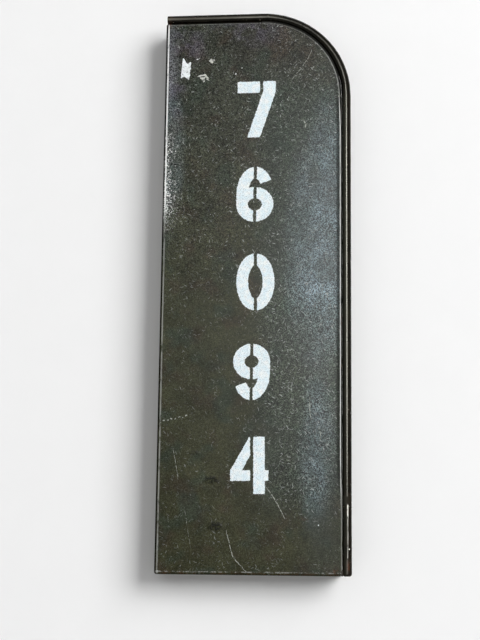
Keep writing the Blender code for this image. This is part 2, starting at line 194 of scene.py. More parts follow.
ROD_BLACK = rgb(6, 5, 2)
ROD_PATCH = rgb(18, 15, 8)
ROD_SPECK = rgb(92, 88, 76)
ROD_RUST = rgb(40, 25, 15)
ROD_FOOT = rgb(20, 14, 9)
ROD_FOOT_RUST = rgb(72, 39, 25)
# Painted highlight on the top rod
ROD_TOP_HIGHLIGHT = rgb(88, 84, 76)
# Painted sheen on the side rod's left flank
ROD_FLANK_SHEEN = rgb(50, 51, 42)
ROD_CHIP = rgb(168, 154, 136)
# Painted highlight, in part bright worn paint
ROD_HIGHLIGHT_STREAK = rgb(246, 242, 232)
ROD_GLOSS_TINT = (1, 0.98, 0.86, 1)

BAR_DARK, BAR_PALE = rgb(60, 58, 52), rgb(82, 80, 74)
BAR_RUST, BAR_OLD_RUST = rgb(70, 49, 37), rgb(46, 32, 25)
BEAD_DARK, BEAD_PALE, BEAD_RUST = rgb(52, 50, 42), rgb(96, 84, 70), rgb(92, 54, 34)
STENCIL_BLUISH, STENCIL_WHITE = rgb(222, 237, 243), rgb(240, 245, 245)
STENCIL_HOLE = rgb(96, 100, 92)
COAT_BELOW = rgb(58, 60, 48)
SPLASH_WHITE = rgb(240, 245, 247)
SCRAPED_WHITE = rgb(206, 208, 200)
SCRATCHED_PALE = rgb(172, 175, 166)
WALL_GREY, WALL_PALE = rgb(246, 246, 246), rgb(249, 249, 249)


# Materials


class Coat:
    """One material built from nodes, in the object's own coordinates."""

    def __init__(self, name):
        self.material = bpy.data.materials.new(name)
        self.material.use_nodes = True
        self.tree = self.material.node_tree
        self.shader = self.tree.nodes["Principled BSDF"]
        self.place = self.node("ShaderNodeTexCoord").outputs["Object"]
        self.x, self.y, self.z = self.node("ShaderNodeSeparateXYZ", self.place).outputs

    def node(self, kind, *values, **settings):
        """A node with its settings, and its inputs linked or set in order."""
        made = self.tree.nodes.new(kind)
        for key, value in settings.items():
            setattr(made, key, value)
        for socket, value in zip(made.inputs, values):
            self.put(value, socket)
        return made

    def put(self, value, socket):
        """Links or sets one input."""
        if isinstance(value, bpy.types.NodeSocket):
            self.tree.links.new(value, socket)
        elif value is not None:
            socket.default_value = value

    def math(self, operation, *values):
        """The result of one sum."""
        return self.node("ShaderNodeMath", *values, operation=operation).outputs[0]

    def minus(self, value, other):
        """One value less another."""
        return self.math("SUBTRACT", value, other)

    def ramp(self, value, gain, base):
        """A value times gain, plus base."""
        return self.math("MULTIPLY_ADD", value, gain, base)

    def either(self, *masks):
        """The strongest of several masks."""
        strongest = masks[0]
        for mask in masks[1:]:
            strongest = self.math("MAXIMUM", strongest, mask)
        return strongest

    def both(self, *masks):
        """The product of several masks."""
        product = masks[0]
        for mask in masks[1:]:
            product = self.math("MULTIPLY", product, mask)
        return product

    def step(self, value, low, high):
        """Rises smoothly from 0 at low to 1 at high, or falls if low is the larger."""
        made = self.node("ShaderNodeMapRange", value, interpolation_type="SMOOTHSTEP")
        start, end = (0.0, 1.0) if low < high else (1.0, 0.0)
        made.inputs["From Min"].default_value = min(low, high)
        made.inputs["From Max"].default_value = max(low, high)
        made.inputs["To Min"].default_value = start
        made.inputs["To Max"].default_value = end
        return made.outputs["Result"]

    def noise(self, size, detail, rough=0.5, stretch=(1, 1, 1), shift=(0, 0, 0)):
        """Noise whose features are about size metres across, times stretch along each axis."""
        moved = self.node("ShaderNodeMapping", self.place, vector_type="TEXTURE")
        moved.inputs["Location"].default_value = shift
        moved.inputs["Scale"].default_value = [size * value for value in stretch]
        made = self.node("ShaderNodeTexNoise", moved.outputs[0])
        made.inputs["Scale"].default_value = 1.0
        made.inputs["Detail"].default_value = detail
        made.inputs["Roughness"].default_value = rough
        return made.outputs[0]

    def patches(self, low, high, *values, **settings):
        """Soft-edged patches where a noise rises from low to high. The rest is for noise()."""
        return self.step(self.noise(*values, **settings), low, high)

    def spot(self, across, up, wide, high, edge=0.35):
        """A soft-edged ellipse on the face, 1 inside and 0 outside, in millimetres."""
        x, z = on_face(across, up)
        moved = self.node("ShaderNodeVectorMath", self.place, (x, 0, z), operation="SUBTRACT")
        flat = (1000 / wide, 0, 1000 / high)
        scaled = self.node("ShaderNodeVectorMath", moved.outputs[0], flat, operation="MULTIPLY")
        far = self.node("ShaderNodeVectorMath", scaled.outputs[0], operation="LENGTH")
        return self.step(far.outputs["Value"], 1.0, edge)

    def band(self, value, centre, half, soft):
        """1 within half of a centre value, fading to 0 over soft."""
        off = self.math("ABSOLUTE", self.minus(value, centre))
        return self.step(off, half + soft, half)

    def blend(self, factor, under, over):
        """Lays a colour over another by a mask."""
        made = self.node("ShaderNodeMix", data_type="RGBA")
        self.put(factor, made.inputs["Factor"])
        self.put(under, made.inputs[6])
        self.put(over, made.inputs[7])
        return made.outputs[2]

    def bump(self, height, distance, strength, under=None):
        """Relief from a height mask, on top of other relief."""
        made = self.node("ShaderNodeBump")
        made.inputs["Strength"].default_value = strength
        made.inputs["Distance"].default_value = distance
        self.put(height, made.inputs["Height"])
        self.put(under, made.inputs["Normal"])
        return made.outputs[0]

    def tone(self, colour, factor):
        """Makes a colour lighter or darker by a factor."""
        made = self.node("ShaderNodeVectorMath", colour, operation="SCALE")
        self.put(factor, made.inputs["Scale"])
        return made.outputs[0]

    def from_curve(self):
        """How far a place lies outward of the round corner's centre, and of its straight runs."""
        beyond_x = self.math("MAXIMUM", self.minus(self.x, CURVE_X), 0.0)
        beyond_z = self.math("MAXIMUM", self.minus(self.z, CURVE_Z), 0.0)
        outward = self.node("ShaderNodeCombineXYZ", beyond_x, 0.0, beyond_z).outputs[0]
        return self.node("ShaderNodeVectorMath", outward, operation="LENGTH").outputs["Value"]

    def bent(self):
        """Two coordinates that run over every side of the pan, slightly warped."""
        push_x = self.ramp(self.noise(0.010, 1), 0.006, self.x)
        push_z = self.ramp(self.noise(0.010, 1, shift=(9, 0, 4)), 0.006, self.z)
        along = self.math("ADD", push_x, self.y)
        up = self.ramp(self.y, 0.7, push_z)
        return self.node("ShaderNodeCombineXYZ", along, up, 0.0).outputs[0]

    def dashes(self, place, size, turn, keep):
        """Short scratches: a slim ellipse in some of the cells of a drawn-out, turned grid."""
        moved = self.node("ShaderNodeMapping", place, vector_type="TEXTURE")
        moved.inputs["Location"].default_value = (turn, size, 0)
        moved.inputs["Rotation"].default_value = (0, 0, math.radians(turn))
        moved.inputs["Scale"].default_value = (size, size * 7, 1)
        cells = self.node("ShaderNodeTexVoronoi", moved.outputs[0], voronoi_dimensions="2D")
        cells.inputs["Scale"].default_value = 1.0
        pick = self.node("ShaderNodeSeparateColor", cells.outputs["Color"]).outputs[0]
        slim = self.step(cells.outputs["Distance"], 0.09, 0.05)
        return self.both(slim, self.step(pick, keep, 0.0))

    def finish(self, colour, roughness, normal=None, *, specular, tint=(1, 1, 1, 1)):
        """Sets the shader and gives the material."""
        self.put(colour, self.shader.inputs["Base Color"])
        self.put(roughness, self.shader.inputs["Roughness"])
        self.put(normal, self.shader.inputs["Normal"])
        self.shader.inputs["Specular IOR Level"].default_value = specular
        self.shader.inputs["Specular Tint"].default_value = tint
        return self.material


class PanelCoat(Coat):
    """The pan's paint, layer by layer, with the places and noises that its layers share."""

    def __init__(self, name):
        super().__init__(name)
        self.across = self.minus(self.x, LEFT)
        self.up = self.minus(self.z, FOOT)
        self.depth = self.minus(self.y, FACE)
        self.front = self.step(self.depth, 0.0012, 0.0006)
        self.behind = self.minus(1.0, self.front)
        self.near_foot = self.step(self.up, 0.12, 0.06)
        self.mottle = self.noise(0.022, 4, 0.6)
        self.fine = self.noise(0.0028, 3, 0.7)
        self.grain = self.noise(0.0009, 1, 0.6, shift=(3, 1, 2))
        # How far a place lies inward of the right fold, which its line of wear and painted
        # highlight follows closer at the foot and less close from the round corner on
        inward = self.minus(FOLD_RIGHT - CURVE_X, self.from_curve())
        inward = self.ramp(self.near_foot, 0.0009, inward)
        self.edge = self.ramp(self.step(self.z, 0.0, 0.045), -0.0011, inward)

    def ground(self):
        """The olive: greyer towards the head, cooler on the right, with brown and green casts."""
        corner = self.both(self.step(self.up, 0.515, 0.560), self.step(self.across, 0.05, 0.10))
        cool = self.both(self.step(self.across, 0.090, 0.125), self.band(self.up, 0.30, 0.20, 0.06))
        brown = self.patches(0.50, 0.66, 0.030, 2, 0.5, shift=(1, 0, 5))
        green = self.patches(0.50, 0.66, 0.032, 2, 0.5, shift=(6, 0, 2))
        olive = self.blend(self.step(self.up, 0.04, 0.30), OLIVE_FOOT, OLIVE_MIDDLE)
        olive = self.blend(self.step(self.up, 0.30, 0.56), olive, OLIVE_HEAD)
        olive = self.blend(corner, olive, OLIVE_UPPER_RIGHT)
        olive = self.blend(self.both(cool, 0.8), olive, OLIVE_COOL)
        olive = self.blend(self.both(brown, self.ramp(cool, -0.45, 0.55)), olive, BROWN_CAST)
        olive = self.blend(self.both(green, 0.55), olive, GREEN_CAST)
        return self.tone(olive, self.ramp(self.mottle, 1.3, 0.33))

    def chalk_and_sheen(self, under):
        """A cloudy haze of chalk up the left edge, and on the right of the face chalk with a
        painted sheen.
        """
        # Painted sheen: the patches on the right also stand for a reflection on the paint
        chalk_sheen = self.either(
            self.spot(172, 340, 50, 160, 0.1),
            self.both(self.spot(168, 125, 26, 110, 0.1), 0.6),
            self.both(self.spot(182, 444, 34, 88, 0.1), 0.75),
            self.both(self.spot(6, 460, 22, 130, 0.1), 0.45),
            self.both(self.spot(13, 430, 14, 54, 0.2), 0.35),
        )
        chalk_sheen = self.ramp(self.spot(171, 294, 22, 42, 0.1), 0.32, chalk_sheen)
        chalk_sheen = self.ramp(self.spot(183, 414, 16, 40, 0.1), 0.25, chalk_sheen)
        cloud = self.patches(0.42, 0.62, 0.034, 4, 0.6, (1, 1, 1.6), (5, 0, 8))
        chalk_sheen = self.both(chalk_sheen, self.ramp(self.spot(168, 328, 42, 46, 0.1), -0.30, 1.0))
        chalk_sheen = self.both(chalk_sheen, self.ramp(cloud, 0.42, 0.32), self.front)
        hazy = self.both(self.spot(4, 556, 14, 66, 0.1), self.ramp(cloud, 0.35, 0.40), self.front)
        return self.blend(hazy, self.blend(chalk_sheen, under, CHALK_AND_SHEEN), PALE_HAZE)

    def stained(self, under):
        """A violet cast near the head, grey at the lower right, and primer behind."""
        violet = self.either(
            self.spot(84, 586, 60, 24, 0.2),
            self.spot(22, 575, 34, 34, 0.2),
            self.spot(14, 520, 14, 40, 0.2),
        )
        violet = self.both(violet, self.step(self.mottle, 0.40, 0.60), self.front, 0.45)
        grey = self.both(self.spot(178, 28, 40, 62, 0.1), self.front, 0.55)
        primer = self.patches(0.44, 0.66, 0.040, 4, 0.65, shift=(0, 5, 5))
        worn = self.blend(violet, under, VIOLET_CAST)
        worn = self.blend(grey, worn, LOWER_RIGHT_GREY)
        return self.blend(self.both(primer, self.behind, 0.4), worn, REAR_PRIMER)

    def scratched(self, under):
        """Grain, short hair scratches and pinholes, busiest at the right and towards the head."""
        right = self.both(self.step(self.across, 0.09, 0.14), self.step(self.up, 0.02, 0.10))
        middle = self.band(self.up, 0.228, 0.055, 0.035)
        middle = self.both(self.step(self.across, 0.08, 0.12), middle)
        busy = self.either(self.step(self.up, 0.16, 0.42), right, middle, 0.42)
        busy = self.both(busy, self.ramp(self.front, 0.6, 0.4))
        contrast = self.ramp(middle, 4.0, self.ramp(right, 3.5, 7.2))
        rub = self.ramp(self.minus(self.grain, 0.5), contrast, 0.9)
        worn = self.blend(busy, under, self.tone(under, self.math("MAXIMUM", rub, 0.1)))

        place = self.bent()
        hair = self.either(
            self.dashes(place, 0.0030, 38, 0.75),
            self.dashes(place, 0.0027, -42, 0.70),
            self.dashes(place, 0.0034, 72, 0.60),
            self.dashes(place, 0.0032, 12, 0.50),
            self.dashes(place, 0.0025, -75, 0.60),
        )
        clump = self.patches(0.44, 0.62, 0.016, 3, 0.6, shift=(2, 0, 9))
        clump = self.ramp(right, 0.5, self.math("ADD", clump, 0.25))
        clump = self.ramp(middle, 0.5, clump)
        calm = self.ramp(self.spot(100, 565, 75, 45, 0.2), -0.45, 0.85)
        pits = self.patches(0.70, 0.78, 0.0015, 1, 0.5, shift=(0, 3, 9))
        worn = self.blend(self.both(hair, busy, clump, calm), worn, HAIR_SCRATCH)
        return self.blend(self.both(pits, busy, 0.8), worn, PINHOLE)

    def smudges(self):
        """Dark smudges at the lower left."""
        smudge = self.either(
            self.spot(58.5, 97.0, 11, 5.0, 0.4),
            self.spot(62.8, 49.0, 10, 7.0, 0.4),
            self.both(self.spot(38.5, 124.6, 11, 3.4, 0.2), 0.6),
        )
        ragged_edge = self.patches(0.40, 0.54, 0.0030, 3, 0.75, shift=(0, 0, 4))
        return self.both(smudge, self.front, ragged_edge)

    def worn_and_highlit(self):
        """Where paint has worn off the folds and flaked off at the left edge, and a painted
        highlight along the right fold's bend.
        """
        patchy = self.patches(0.34, 0.50, 0.006, 3, 0.7, (1, 1, 3))
        broken = self.step(self.fine, 0.46, 0.60)
        left_line = self.both(
            self.band(self.across, 0.0031, 0.0004, 0.0006),
            self.ramp(self.step(self.up, 0.375, 0.400), 0.75, 0.25),
            self.either(patchy, self.band(self.up, 0.418, 0.030, 0.030)),
        )
        # Worn paint and a painted highlight along the right fold's bend
        fold_wear_and_highlight = self.both(
            self.band(self.edge, 0.0015, 0.0002, 0.0005),
            self.ramp(self.step(self.x, 0.06, 0.092), 0.72, 0.28),
            self.ramp(self.near_foot, -0.60, 1.0),
            self.ramp(self.step(self.z, 0.046, 0.010), 0.65, 0.35),
            self.ramp(patchy, 0.4, 0.6),
        )
        corner = self.both(self.spot(3.4, 3.0, 2.0, 1.6, 0.5), 0.4)
        low_line = self.both(self.band(self.up, 0.0030, 0.0003, 0.0006), broken, 0.26)
        lines = self.both(self.either(left_line, fold_wear_and_highlight, corner, low_line), self.front)

        thinning = self.ramp(self.across, 9.0, 0.51)
        thinning = self.ramp(self.spot(8, 397, 24, 34, 0.1), -0.05, thinning)
        flaked = self.minus(self.noise(0.0015, 2, 0.8, shift=(1, 4, 0)), thinning)
        left_wall = self.both(
            self.step(self.across, 0.0012, 0.0006), self.step(self.depth, 0.0040, 0.0010)
        )
        flakes = self.both(
            self.step(flaked, 0.0, 0.05),
            self.band(self.up, 0.424, 0.026, 0.045),
            self.either(self.front, left_wall),
        )

        into_curve = self.math("MINIMUM", self.minus(self.x, CURVE_X), self.minus(self.z, CURVE_Z))
        rear_fold = self.both(
            self.band(self.depth, PAN_DEPTH - 0.0013, 0.0002, 0.0006),
            self.step(into_curve, 0.0030, 0.0010),
            broken,
            0.4,
        )
        rear_rim = self.both(
            self.step(self.depth, PAN_DEPTH - 0.0003, PAN_DEPTH - 0.0001),
            self.step(self.mottle, 0.50, 0.66),
            self.step(self.fine, 0.40, 0.62),
            0.25,
        )
        return self.either(flakes, lines, rear_fold, rear_rim)

    def painted_shade(self):
        """Painted shade, with some dirt: dark in the groove beside the rod, in a band inside the
        right fold, and on the left fold, which turns from the light.
        """
        beside_fold = self.both(
            self.band(self.edge, 0.0036, 0.0002, 0.0032),
            self.step(self.near_foot, 1.0, 0.0),
            self.step(self.z, 0.09, 0.02),
            0.72,
        )
        in_groove = self.step(self.edge, 0.0011, 0.0007)
        left_fold = self.step(self.across, 0.0020, 0.0012)
        shaded = self.either(in_groove, beside_fold, left_fold)
        return self.both(shaded, self.step(self.depth, 0.0080, 0.0015))

    def rust(self):
        """Rust along the foot, in two corners, in one place on the face, and behind."""
        bloom = self.patches(0.50, 0.64, 0.018, 4, 0.65, shift=(8, 8, 8))
        places = self.either(
            self.both(self.step(self.up, 0.005, 0.001), 0.35),
            self.both(self.spot(155, 56, 14, 8, 0.1), self.front, 0.25),
            self.both(self.spot(7, 600, 16, 10, 0.1), 0.5),
            self.spot(187, 5, 4, 7, 0.2),
            self.both(bloom, self.behind, 0.7),
        )
        return self.both(places, self.patches(0.45, 0.6, 0.004, 3, 0.6, shift=(2, 2, 2)), 0.6)


def panel_paint():
    """Olive grey paint: mottled, chalky with a painted sheen at the right, scratched all over,
    worn at its edges, with painted shade in the groove and at the folds,
    and a painted highlight on the right fold.
    """
    c = PanelCoat("worn_olive_paint")
    smudge, painted_shade = c.smudges(), c.painted_shade()
    worn = c.scratched(c.stained(c.chalk_and_sheen(c.ground())))
    worn = c.blend(c.both(smudge, 0.9), worn, SMUDGE)
    worn = c.blend(c.worn_and_highlit(), worn, BARE_AND_HIGHLIGHT)
    # Painted shade in the groove beside the rod and at the folds, with some dirt
    worn = c.blend(painted_shade, worn, GROOVE_SHADE)
    worn = c.blend(c.rust(), worn, PANEL_RUST)

    rough = c.ramp(c.grain, 0.8, c.ramp(c.mottle, 0.20, -0.19))
    rough = c.ramp(painted_shade, 0.3, rough)
    skin = c.bump(c.fine, 0.00010, 0.4)
    skin = c.bump(c.grain, 0.00010, 0.8, skin)
    skin = c.bump(smudge, 0.0004, 0.6, skin)
    return c.finish(worn, rough, skin, specular=0.015)


def rod_paint():
    """Near-black gloss paint on the rod, brown with rust at its ends, with painted highlights and
    sheen.
    """
    c = Coat("black_rod_paint")
    up = c.minus(c.z, FOOT)
    near_foot = c.step(up, 0.020, 0.010)
    patch = c.noise(0.012, 3, 0.6)
    fine = c.noise(0.0018, 3, 0.7)
    black = c.blend(c.step(patch, 0.35, 0.7), ROD_BLACK, ROD_PATCH)
    black = c.blend(c.both(c.step(fine, 0.62, 0.76), 0.3), black, ROD_SPECK)

    near_start = c.step(c.minus(c.x, ROD_LEFT), 0.008, 0.004)
    lower_run = c.both(c.step(up, 0.16, 0.05), 0.15)
    rust = c.both(c.either(near_start, lower_run), c.step(patch, 0.30, 0.60))
    rust = c.either(rust, near_foot)
    foot_rust = c.both(
        c.band(c.x, 0.0979, 0.0007, 0.0014),
        c.band(up, 0.0130, 0.0040, 0.0050),
        c.step(fine, 0.38, 0.56),
    )
    rusty = c.blend(near_foot, ROD_RUST, c.blend(foot_rust, ROD_FOOT, ROD_FOOT_RUST))
    colour = c.blend(rust, black, rusty)

    # A painted highlight along the top rod, a painted sheen on the side rod's left flank, and chips
    top_rod_highlight = c.both(
        c.band(c.z, TOP - 0.0051, 0.0007, 0.0011),
        c.step(c.x, 0.040, -0.020),
        c.ramp(c.step(c.x, -0.065, -0.095), 0.45, 0.45),
    )
    # Painted sheen beside the side rod's highlight
    flank_sheen = c.both(
        c.band(c.x, 0.0948, 0.0008, 0.0016),
        c.step(c.z, 0.060, 0.020),
        c.ramp(c.step(up, 0.10, 0.40), 0.4, 0.4),
    )
    chips = c.both(c.patches(0.70, 0.74, 0.003, 2, 0.6, shift=(7, 0, 0)), 0.5)
    colour = c.blend(top_rod_highlight, colour, ROD_TOP_HIGHLIGHT)
    colour = c.blend(flank_sheen, colour, ROD_FLANK_SHEEN)
    colour = c.blend(chips, colour, ROD_CHIP)

    # A painted highlight near the foot, in part bright worn paint: one long streak, wider at its
    # lower end, and a dot beside it
    sway = c.ramp(c.noise(0.018, 1, shift=(0, 0, 7)), 0.0012, -0.0982)
    slim = c.ramp(c.step(up, 0.055, 0.064), -0.60, 1.25)
    highlight_streak = c.both(
        c.band(c.math("MULTIPLY", c.math("ADD", c.x, sway), slim), 0.0, 0.0002, 0.0003),
        c.band(up, 0.0452, 0.0262, 0.0014),
        c.step(c.y, -0.024, -0.028),
        c.patches(0.34, 0.50, 0.002, 2, 0.6, (1, 1, 4)),
        c.ramp(c.step(up, 0.055, 0.062), 0.45, 0.55),
    )
    colour = c.blend(c.either(highlight_streak, c.spot(200.6, 27.5, 0.7, 1.0)), colour, ROD_HIGHLIGHT_STREAK)

    dull = c.either(c.band(up, 0.0770, 0.0030, 0.0018), c.both(near_foot, 0.04))
    rough = c.ramp(rust, 0.12, c.ramp(patch, 0.20, 0.12))
    rough = c.ramp(dull, 0.55, rough)
    rough = c.ramp(c.band(up, 0.275, 0.10, 0.06), 0.05, rough)
    skin = c.bump(fine, 0.00004, 0.3)
    return c.finish(colour, rough, skin, specular=0.07, tint=ROD_GLOSS_TINT)


def bar_paint():
    """Dull primer on the hanger bars, with rust along their edges and in patches."""
    c = Coat("dull_bar_primer")
    patch = c.noise(0.015, 4, 0.65)
    fine = c.noise(0.0015, 3, 0.7)
    grey = c.blend(c.step(patch, 0.35, 0.6), BAR_DARK, BAR_PALE)
    grey = c.tone(grey, c.ramp(fine, 1.2, 0.4))
    bars = ("upper_hanger_bar", "lower_hanger_bar")
    rims = [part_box(bar)[end].z for bar in bars for end in (0, 1)]
    rim = c.either(*(c.band(c.z, height, 0.0003, 0.0040) for height in rims))
    spread = c.ramp(fine, 0.35, c.ramp(rim, 0.12, patch))
    rust = c.step(spread, 0.68, 0.88)
    colour = c.blend(rust, grey, BAR_RUST)
    colour = c.blend(c.step(spread, 0.86, 0.98), colour, BAR_OLD_RUST)
    skin = c.bump(fine, 0.00015, 0.5)
    return c.finish(colour, c.ramp(rust, 0.25, 0.5), skin, specular=0.25)


def bead_paint():
    """Weld metal under a thin, patchy coat of paint."""
    c = Coat("painted_weld")
    patch = c.noise(0.004, 3, 0.6)
    fine = c.noise(0.0008, 2, 0.6)
    colour = c.blend(c.step(patch, 0.4, 0.62), BEAD_DARK, BEAD_PALE)
    colour = c.blend(c.step(fine, 0.62, 0.7), colour, BEAD_RUST)
    return c.finish(colour, 0.45, c.bump(fine, 0.00012, 0.5), specular=0.25)


def stencil_paint():
    """Sprayed white paint: faintly blue, mottled, with pinholes that show the coat below."""
    c = Coat("stencil_white")
    mottle = c.noise(0.006, 3, 0.6)
    grain = c.noise(0.0010, 1, 0.6)
    white = c.blend(c.step(mottle, 0.35, 0.7), STENCIL_BLUISH, STENCIL_WHITE)
    white = c.tone(white, c.math("MINIMUM", c.ramp(grain, 2.4, -0.12), 1.1))
    holes = c.patches(0.71, 0.75, 0.0022, 3, 0.8, shift=(4, 4, 0))
    white = c.blend(c.both(holes, 0.7), white, STENCIL_HOLE)
    return c.finish(white, 0.7, c.bump(grain, 0.00008, 0.5), specular=0.02)


def scratch_paint(name, colour, cover):
    """Paint scratched thin, or a dried splash of it, with the coat below showing through."""
    c = Coat(name)
    gaps = c.patches(cover - 0.08, cover, 0.0030, 3, 0.75)
    mottle = c.patches(0.40, 0.56, 0.0035, 3, 0.7, shift=(4, 0, 0))
    paint = c.blend(mottle, c.blend(0.18, colour, COAT_BELOW), colour)
    return c.finish(c.blend(gaps, COAT_BELOW, paint), 0.6, specular=0.03)


# Pieces


def smooth_by_angle():
    """Geometry nodes that join a mesh's facets and shade them smooth, apart from sharp edges."""
    group = bpy.data.node_groups.new("smooth_by_angle", "GeometryNodeTree")
    for way in ("INPUT", "OUTPUT"):
        group.interface.new_socket("Geometry", in_out=way, socket_type="NodeSocketGeometry")
    start, end = group.nodes.new("NodeGroupInput"), group.nodes.new("NodeGroupOutput")
    joined = group.nodes.new("GeometryNodeMergeByDistance")
    joined.inputs["Distance"].default_value = 1e-6
    faces, edges = (group.nodes.new("GeometryNodeSetShadeSmooth") for _ in range(2))
    edges.domain = "EDGE"
    edges.inputs["Shade Smooth"].default_value = False
    angle = group.nodes.new("GeometryNodeInputMeshEdgeAngle")
    sharp = group.nodes.new("FunctionNodeCompare")
    sharp.operation = "GREATER_THAN"
    sharp.inputs[1].default_value = math.radians(SHARP_ANGLE)
    group.links.new(angle.outputs["Unsigned Angle"], sharp.inputs[0])
    group.links.new(sharp.outputs[0], edges.inputs["Selection"])
    group.links.new(start.outputs[0], joined.inputs["Geometry"])
    group.links.new(joined.outputs[0], faces.inputs["Geometry"])
    group.links.new(faces.outputs[0], edges.inputs["Geometry"])
    group.links.new(edges.outputs[0], end.inputs[0])
    return group


def dress(node, material, smoothing):
    """Gives a CAD node's object a material and smooth shading over its small facets."""
    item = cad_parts[node]
    item.data.materials.clear()
    item.data.materials.append(material)
    item.modifiers.new("smooth_by_angle", "NODES").node_group = smoothing
    weighted = item.modifiers.new("flat_faces", "WEIGHTED_NORMAL")
    weighted.mode = "FACE_AREA_WITH_ANGLE"
    weighted.keep_sharp = True


def add_piece(name, bm, material):
    """Makes an object from a bmesh, riding on the sign."""
    mesh = bpy.data.meshes.new(name)
    bmesh.ops.recalc_face_normals(bm, faces=bm.faces)
    bm.to_mesh(mesh)
    bm.free()
    mesh.shade_smooth()
    mesh.set_sharp_from_angle(angle=math.radians(SHARP_ANGLE))
    mesh.materials.append(material)
    piece = bpy.data.objects.new(name, mesh)
    bpy.context.scene.collection.objects.link(piece)
    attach(piece, "root")
    return piece


def rippled_bead(name, centre, reach, width, material):
    """A run of weld metal round a centre, from one blunt end to the other, which reach leads to."""
    half = reach.length
    along = reach.normalized()
    side = along.orthogonal().normalized()
    up = along.cross(side)
    rings, sides = 44, 16
    bm = bmesh.new()
    loops = []
    for ring in range(1, rings):
        place = math.cos(math.pi * ring / rings)
        swell = (1 - abs(place) ** 3) ** (1 / 3)
        loop = []
        for corner in range(sides):
            angle = 2 * math.pi * corner / sides
            lean = place * half + RIPPLE_LEAN * math.cos(angle)
            ripple = 1 + RIPPLE_HEIGHT * math.sin(lean / RIPPLE_PITCH * 2 * math.pi)
            radius = width / 2 * swell * ripple
            out = side * math.cos(angle) + up * math.sin(angle)
            loop.append(bm.verts.new(centre + along * place * half + out * radius))
        loops.append(loop)
    for first, second in zip(loops, loops[1:]):
        for corner in range(sides):
            after = (corner + 1) % sides
            bm.faces.new((first[corner], first[after], second[after], second[corner]))
    bm.faces.new(loops[0])
    bm.faces.new(loops[-1])
    return add_piece(name, bm, material)


def weld_bead(node, material):
    """A rippled bead in place of a plain weld solid, thick enough to meet what it joins."""
    points = [vert.co.copy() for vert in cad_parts[node].data.vertices]
    centre = sum(points, Vector()) / len(points)
    reach = (max(points, key=lambda point: (point - centre).length) - centre) * BEAD_STRETCH
    piece = rippled_bead("rippled_" + node, centre, reach, BEAD_WIDTH, material)
    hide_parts(node)


def foot_weld(material):
    """A black bead closing the groove between the pan and the side rod at the foot: a dark piece
    for the shade there.
    """
    centre = Vector((0.0919, -0.0283, FOOT + 0.0036))
    rippled_bead("foot_weld", centre, Vector((0, 0, 0.0035)), 0.0030, material)


def ellipse(centre, radii, start, end, steps=40):
    """Points on an elliptic arc, angles in degrees."""
    points = []
    for step in range(steps + 1):
        angle = math.radians(start + (end - start) * step / steps)
        x = centre[0] + radii[0] * math.cos(angle)
        points.append((x, centre[1] + radii[1] * math.sin(angle)))
    return points


def stroke(path):
    """The outline of a digit's stroke along a path, with square ends."""
    first, second = [], []
    for index, point in enumerate(path):
        before = Vector(path[max(index - 1, 0)])
        after = Vector(path[min(index + 1, len(path) - 1)])
        out = (after - before).orthogonal().normalized() * STROKE / 2
        first.append(Vector(point) + out)
        second.append(Vector(point) - out)
    return [tuple(point) for point in first + second[::-1]]


def beside_bridge(island, side):
    """Cuts an island off straight beside the upright bridge in a digit's middle."""
    edge = CELL_MIDDLE[0] + side * BRIDGE / 2
    return [(max(x, edge) if side > 0 else min(x, edge), y) for x, y in island]


def digit_islands(digit):
    """The islands of a stencilled digit, in its cell."""
    tall = (13.8, 24.3)
    if digit == "0":
        right = stroke(ellipse(CELL_MIDDLE, tall, -90, 90))
        left = stroke(ellipse(CELL_MIDDLE, tall, 90, 270))
        return [beside_bridge(right, 1), beside_bridge(left, -1)]
    if digit in "69":
        eye = (20, 19.2)
        round_eye = (13.8, 13.0)
        back = ellipse(CELL_MIDDLE, tall, 90, 180) + ellipse(eye, round_eye, 180, 270)
        hook = ellipse(CELL_MIDDLE, tall, 34, 90)
        bowl = ellipse(eye, round_eye, -90, 90)
        shoulder = ellipse(eye, round_eye, 90, 180)
        sides = ((back, -1), (hook, 1), (bowl, 1), (shoulder, -1))
        islands = [beside_bridge(stroke(path), side) for path, side in sides]
        if digit == "9":
            islands = [[(CELL_WIDE - x, CELL_HIGH - y) for x, y in island] for island in islands]
        return islands
    if digit == "7":
        bar = [(0, 61), (0, 48.6), (23.5, 48.6), (23.5, 61)]
        stem = [(23.5 + BRIDGE, 61), (40, 61), (40, 49.5), (23.6, 0), (10.2, 0), (26.3, 48.6),
                (26.9, 50)]
        return [bar, stem]
    arm = [(20.5, 61), (0, 25.2), (0, 14), (21.4, 14), (21.4, 25.2), (12.6, 25.2), (21.4, 41),
           (21.4, 61)]
    post = [(24.8, 0), (37.2, 0), (37.2, 14), (41, 14), (41, 25.2), (37.2, 25.2), (37.2, 61),
            (24.8, 61)]
    return [arm, post]


def between(start, end, spacing):
    """Points evenly spaced from a start up to an end, without the end."""
    start, end = Vector(start), Vector(end)
    count = max(1, round((end - start).length / spacing))
    return [start.lerp(end, step / count) for step in range(count)]


def resample(outline, spacing):
    """Points evenly spaced round a closed outline."""
    points = []
    for start, end in zip(outline, outline[1:] + outline[:1]):
        points += between(start, end, spacing)
    return points


def soften(points, passes):
    """Rounds a closed outline's corners."""
    for _ in range(passes):
        before = [points[-1]] + points[:-1]
        after = points[1:] + points[:1]
        points = [(a + 2 * b + c) / 4 for a, b, c in zip(before, points, after)]
    return points


def ragged(points, amount, size, seed):
    """Moves points by up to about amount, by a smooth noise whose features have a size."""
    moved = []
    for point in points:
        at = Vector((point.x / size, point.y / size, seed))
        push = Vector((noise.noise(at), noise.noise(at + Vector((31, 17, 0)))))
        moved.append(point + push * amount)
    return moved


